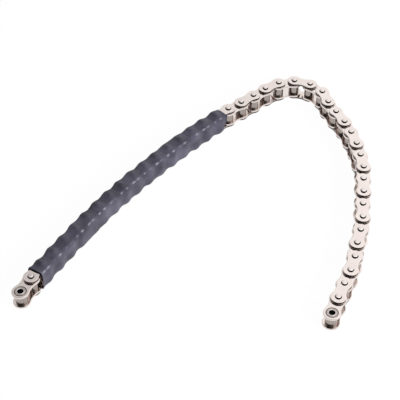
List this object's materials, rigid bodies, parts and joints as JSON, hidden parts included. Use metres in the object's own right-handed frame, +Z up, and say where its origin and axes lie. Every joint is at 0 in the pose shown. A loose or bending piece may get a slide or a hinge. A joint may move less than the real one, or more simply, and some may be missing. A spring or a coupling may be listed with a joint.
{
  "type": "oil filter wrench",
  "caption": "Chain oil filter wrench: a length of steel roller chain, half of it inside a grippy rubber sleeve, with an open bush at each end for the handle's pins.",
  "frame": {"origin": "middle of the wrench's box in X and Y, on the surface that its sleeve lies on", "axes": "+Z up, along every chain pin; +X to the right, across the open end of the arch; +Y from the open end of the arch to its crown"},
  "size_m": [0.2448, 0.2446, 0.0175],
  "materials": {
    "nickel_steel": "nickel-plated carbon steel, tumbled smooth",
    "sleeve_rubber": "matte moulded rubber tube, shrunk over the chain"
  },
  "bodies": {
    "link_01": {"inner_link_01": "nickel_steel"},
    "link_02": {"outer_link_02": "nickel_steel", "sleeve_02": "sleeve_rubber"},
    "link_03": {"inner_link_03": "nickel_steel", "sleeve_03": "sleeve_rubber"},
    "link_04": {"outer_link_04": "nickel_steel", "sleeve_04": "sleeve_rubber"},
    "link_05": {"inner_link_05": "nickel_steel", "sleeve_05": "sleeve_rubber"},
    "link_06": {"outer_link_06": "nickel_steel", "sleeve_06": "sleeve_rubber"},
    "link_07": {"inner_link_07": "nickel_steel", "sleeve_07": "sleeve_rubber"},
    "link_08": {"outer_link_08": "nickel_steel", "sleeve_08": "sleeve_rubber"},
    "link_09": {"inner_link_09": "nickel_steel", "sleeve_09": "sleeve_rubber"},
    "link_10": {"outer_link_10": "nickel_steel", "sleeve_10": "sleeve_rubber"},
    "link_11": {"inner_link_11": "nickel_steel", "sleeve_11": "sleeve_rubber"},
    "link_12": {"outer_link_12": "nickel_steel", "sleeve_12": "sleeve_rubber"},
    "link_13": {"inner_link_13": "nickel_steel", "sleeve_13": "sleeve_rubber"},
    "link_14": {"outer_link_14": "nickel_steel", "sleeve_14": "sleeve_rubber"},
    "link_15": {"inner_link_15": "nickel_steel", "sleeve_15": "sleeve_rubber"},
    "link_16": {"outer_link_16": "nickel_steel", "sleeve_16": "sleeve_rubber"},
    "link_17": {"inner_link_17": "nickel_steel", "sleeve_17": "sleeve_rubber"},
    "link_18": {"outer_link_18": "nickel_steel", "sleeve_18": "sleeve_rubber"},
    "link_19": {"inner_link_19": "nickel_steel"},
    "link_20": {"outer_link_20": "nickel_steel"},
    "link_21": {"inner_link_21": "nickel_steel"},
    "link_22": {"outer_link_22": "nickel_steel"},
    "link_23": {"inner_link_23": "nickel_steel"},
    "link_24": {"outer_link_24": "nickel_steel"},
    "link_25": {"inner_link_25": "nickel_steel"},
    "link_26": {"outer_link_26": "nickel_steel"},
    "link_27": {"inner_link_27": "nickel_steel"},
    "link_28": {"outer_link_28": "nickel_steel"},
    "link_29": {"inner_link_29": "nickel_steel"},
    "link_30": {"outer_link_30": "nickel_steel"},
    "link_31": {"inner_link_31": "nickel_steel"},
    "link_32": {"outer_link_32": "nickel_steel"},
    "link_33": {"inner_link_33": "nickel_steel"},
    "link_34": {"outer_link_34": "nickel_steel"},
    "link_35": {"inner_link_35": "nickel_steel"},
    "link_36": {"outer_link_36": "nickel_steel"},
    "link_37": {"inner_link_37": "nickel_steel"},
    "link_38": {"outer_link_38": "nickel_steel"},
    "link_39": {"inner_link_39": "nickel_steel"},
    "link_40": {"outer_link_40": "nickel_steel"},
    "link_41": {"inner_link_41": "nickel_steel"},
    "link_42": {"outer_link_42": "nickel_steel"},
    "link_43": {"inner_link_43": "nickel_steel"}
  },
  "joints": [
    {"name": "pivot_01", "type": "hinge", "parent": "link_02", "child": "link_01", "pos_m": [-0.11088, -0.08747, 0.00875], "axis": [0, 0, 1], "range_deg": [-80, 80]},
    {"name": "pivot_02", "type": "hinge", "parent": "link_03", "child": "link_02", "pos_m": [-0.10441, -0.07654, 0.00875], "axis": [0, 0, -1], "range_deg": [-17, 17]},
    {"name": "pivot_03", "type": "hinge", "parent": "link_04", "child": "link_03", "pos_m": [-0.09791, -0.06563, 0.00875], "axis": [0, 0, 1], "range_deg": [-17, 17]},
    {"name": "pivot_04", "type": "hinge", "parent": "link_05", "child": "link_04", "pos_m": [-0.09137, -0.05474, 0.00875], "axis": [0, 0, -1], "range_deg": [-17, 17]},
    {"name": "pivot_05", "type": "hinge", "parent": "link_06", "child": "link_05", "pos_m": [-0.08479, -0.04388, 0.00875], "axis": [0, 0, 1], "range_deg": [-17, 17]},
    {"name": "pivot_06", "type": "hinge", "parent": "link_07", "child": "link_06", "pos_m": [-0.07804, -0.03312, 0.00875], "axis": [0, 0, -1], "range_deg": [-17, 17]},
    {"name": "pivot_07", "type": "hinge", "parent": "link_08", "child": "link_07", "pos_m": [-0.07103, -0.02253, 0.00875], "axis": [0, 0, 1], "range_deg": [-17, 17]},
    {"name": "pivot_08", "type": "hinge", "parent": "link_09", "child": "link_08", "pos_m": [-0.06377, -0.01211, 0.00875], "axis": [0, 0, -1], "range_deg": [-17, 17]},
    {"name": "pivot_09", "type": "hinge", "parent": "link_10", "child": "link_09", "pos_m": [-0.05625, -0.00188, 0.00875], "axis": [0, 0, 1], "range_deg": [-17, 17]},
    {"name": "pivot_10", "type": "hinge", "parent": "link_10", "child": "link_11", "pos_m": [-0.04848, 0.00817, 0.00875], "axis": [0, 0, -1], "range_deg": [-17, 17]},
    {"name": "pivot_11", "type": "hinge", "parent": "link_11", "child": "link_12", "pos_m": [-0.04047, 0.01803, 0.00875], "axis": [0, 0, 1], "range_deg": [-17, 17]},
    {"name": "pivot_12", "type": "hinge", "parent": "link_12", "child": "link_13", "pos_m": [-0.03227, 0.02773, 0.00875], "axis": [0, 0, -1], "range_deg": [-17, 17]},
    {"name": "pivot_13", "type": "hinge", "parent": "link_13", "child": "link_14", "pos_m": [-0.02393, 0.0373, 0.00875], "axis": [0, 0, 1], "range_deg": [-17, 17]},
    {"name": "pivot_14", "type": "hinge", "parent": "link_14", "child": "link_15", "pos_m": [-0.01543, 0.04674, 0.00875], "axis": [0, 0, -1], "range_deg": [-17, 17]},
    {"name": "pivot_15", "type": "hinge", "parent": "link_15", "child": "link_16", "pos_m": [-0.00678, 0.05604, 0.00875], "axis": [0, 0, 1], "range_deg": [-17, 17]},
    {"name": "pivot_16", "type": "hinge", "parent": "link_16", "child": "link_17", "pos_m": [0.00205, 0.06516, 0.00875], "axis": [0, 0, -1], "range_deg": [-17, 17]},
    {"name": "pivot_17", "type": "hinge", "parent": "link_17", "child": "link_18", "pos_m": [0.01117, 0.074, 0.00875], "axis": [0, 0, 1], "range_deg": [-17, 17]},
    {"name": "pivot_18", "type": "hinge", "parent": "link_18", "child": "link_19", "pos_m": [0.02061, 0.08249, 0.00875], "axis": [0, 0, -1], "range_deg": [-40, 40]},
    {"name": "pivot_19", "type": "hinge", "parent": "link_19", "child": "link_20", "pos_m": [0.03066, 0.09026, 0.00875], "axis": [0, 0, 1], "range_deg": [-40, 40]},
    {"name": "pivot_20", "type": "hinge", "parent": "link_20", "child": "link_21", "pos_m": [0.04029, 0.09854, 0.00875], "axis": [0, 0, -1], "range_deg": [-40, 40]},
    {"name": "pivot_21", "type": "hinge", "parent": "link_21", "child": "link_22", "pos_m": [0.04985, 0.10691, 0.00875], "axis": [0, 0, 1], "range_deg": [-40, 40]},
    {"name": "pivot_22", "type": "hinge", "parent": "link_22", "child": "link_23", "pos_m": [0.06047, 0.11386, 0.00875], "axis": [0, 0, -1], "range_deg": [-40, 40]},
    {"name": "pivot_23", "type": "hinge", "parent": "link_23", "child": "link_24", "pos_m": [0.07289, 0.11655, 0.00875], "axis": [0, 0, 1], "range_deg": [-40, 40]},
    {"name": "pivot_24", "type": "hinge", "parent": "link_24", "child": "link_25", "pos_m": [0.08487, 0.11235, 0.00875], "axis": [0, 0, -1], "range_deg": [-40, 40]},
    {"name": "pivot_25", "type": "hinge", "parent": "link_25", "child": "link_26", "pos_m": [0.09361, 0.10314, 0.00875], "axis": [0, 0, 1], "range_deg": [-40, 40]},
    {"name": "pivot_26", "type": "hinge", "parent": "link_26", "child": "link_27", "pos_m": [0.09718, 0.09095, 0.00875], "axis": [0, 0, -1], "range_deg": [-40, 40]},
    {"name": "pivot_27", "type": "hinge", "parent": "link_27", "child": "link_28", "pos_m": [0.10216, 0.07927, 0.00875], "axis": [0, 0, 1], "range_deg": [-40, 40]},
    {"name": "pivot_28", "type": "hinge", "parent": "link_28", "child": "link_29", "pos_m": [0.10743, 0.06771, 0.00875], "axis": [0, 0, -1], "range_deg": [-40, 40]},
    {"name": "pivot_29", "type": "hinge", "parent": "link_29", "child": "link_30", "pos_m": [0.11135, 0.05563, 0.00875], "axis": [0, 0, 1], "range_deg": [-40, 40]},
    {"name": "pivot_30", "type": "hinge", "parent": "link_30", "child": "link_31", "pos_m": [0.11412, 0.04324, 0.00875], "axis": [0, 0, -1], "range_deg": [-40, 40]},
    {"name": "pivot_31", "type": "hinge", "parent": "link_31", "child": "link_32", "pos_m": [0.11571, 0.03064, 0.00875], "axis": [0, 0, 1], "range_deg": [-40, 40]},
    {"name": "pivot_32", "type": "hinge", "parent": "link_32", "child": "link_33", "pos_m": [0.11664, 0.01797, 0.00875], "axis": [0, 0, -1], "range_deg": [-40, 40]},
    {"name": "pivot_33", "type": "hinge", "parent": "link_33", "child": "link_34", "pos_m": [0.11525, 0.00535, 0.00875], "axis": [0, 0, 1], "range_deg": [-80, 80]},
    {"name": "pivot_34", "type": "hinge", "parent": "link_34", "child": "link_35", "pos_m": [0.11408, -0.0073, 0.00875], "axis": [0, 0, -1], "range_deg": [-80, 80]},
    {"name": "pivot_35", "type": "hinge", "parent": "link_35", "child": "link_36", "pos_m": [0.11224, -0.01987, 0.00875], "axis": [0, 0, 1], "range_deg": [-80, 80]},
    {"name": "pivot_36", "type": "hinge", "parent": "link_36", "child": "link_37", "pos_m": [0.11096, -0.0325, 0.00875], "axis": [0, 0, -1], "range_deg": [-80, 80]},
    {"name": "pivot_37", "type": "hinge", "parent": "link_37", "child": "link_38", "pos_m": [0.10815, -0.04489, 0.00875], "axis": [0, 0, 1], "range_deg": [-80, 80]},
    {"name": "pivot_38", "type": "hinge", "parent": "link_38", "child": "link_39", "pos_m": [0.10458, -0.05707, 0.00875], "axis": [0, 0, -1], "range_deg": [-80, 80]},
    {"name": "pivot_39", "type": "hinge", "parent": "link_39", "child": "link_40", "pos_m": [0.10188, -0.06948, 0.00875], "axis": [0, 0, 1], "range_deg": [-80, 80]},
    {"name": "pivot_40", "type": "hinge", "parent": "link_40", "child": "link_41", "pos_m": [0.09791, -0.08155, 0.00875], "axis": [0, 0, -1], "range_deg": [-80, 80]},
    {"name": "pivot_41", "type": "hinge", "parent": "link_41", "child": "link_42", "pos_m": [0.09273, -0.09314, 0.00875], "axis": [0, 0, 1], "range_deg": [-80, 80]},
    {"name": "pivot_42", "type": "hinge", "parent": "link_42", "child": "link_43", "pos_m": [0.08774, -0.10482, 0.00875], "axis": [0, 0, -1], "range_deg": [-80, 80]}
  ]
}
